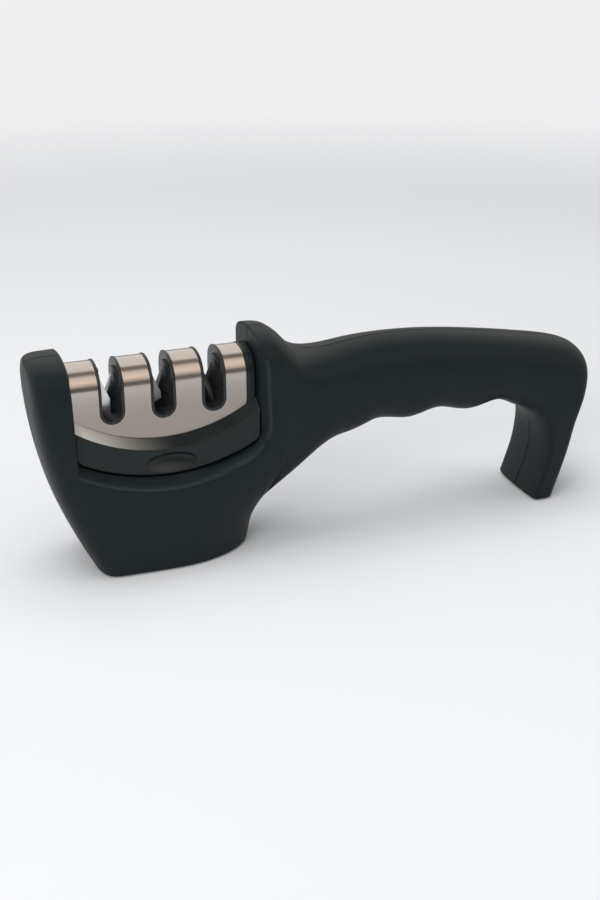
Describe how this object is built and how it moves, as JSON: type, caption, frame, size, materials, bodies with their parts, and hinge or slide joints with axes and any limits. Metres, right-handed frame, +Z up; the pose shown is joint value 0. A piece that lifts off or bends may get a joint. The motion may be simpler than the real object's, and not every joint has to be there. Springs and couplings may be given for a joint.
{
  "type": "hand-held pull-through knife sharpener",
  "caption": "Black hand-held sharpener: hollow handle with a foot leg and a lift-out steel-covered cartridge whose slots hold crossed diamond, carbide and ceramic abrasives.",
  "frame": {"origin": "middle of the length and width, on the table that the head and the leg stand on", "axes": "+X from the head with the slots to the leg at the end of the grip, +Z up, Y = 0 is the joint between the two handle shells"},
  "size_m": [0.2031, 0.0368, 0.0771],
  "materials": {
    "soft_touch_shell": "black soft-touch plastic, fine matte grain",
    "screw_steel": "zinc-plated, cross recess",
    "non_slip_rubber": "matte black rubber",
    "cartridge_plastic": "black moulded plastic, satin",
    "core_plastic": "black moulded plastic, polished",
    "stainless_cover": "brushed along its length",
    "diamond_coat": "steel bar with a fine diamond grit coat",
    "carbide": "ground tungsten carbide",
    "ceramic": "fine dark grey-green ceramic, polished"
  },
  "bodies": {
    "handle": {"near_shell": "soft_touch_shell", "far_shell": "soft_touch_shell", "shell_screw_1": "screw_steel", "shell_screw_2": "screw_steel", "shell_screw_3": "screw_steel", "shell_screw_4": "screw_steel", "shell_screw_5": "screw_steel", "head_pad": "non_slip_rubber", "leg_pad": "non_slip_rubber"},
    "cartridge": {"cartridge_base": "cartridge_plastic", "core_near": "core_plastic", "core_far": "core_plastic", "steel_cover": "stainless_cover", "core_screw_1": "screw_steel", "core_screw_2": "screw_steel", "core_screw_3": "screw_steel", "core_screw_4": "screw_steel", "diamond_bar_left": "diamond_coat", "diamond_bar_right": "diamond_coat", "carbide_blade_left": "carbide", "carbide_blade_right": "carbide", "ceramic_rod_left": "ceramic", "ceramic_rod_right": "ceramic"}
  },
  "joints": [
    {"name": "cartridge_lift", "type": "slide", "parent": "handle", "child": "cartridge", "axis": [0, 0, 1], "range_m": [0, 0.055]}
  ]
}
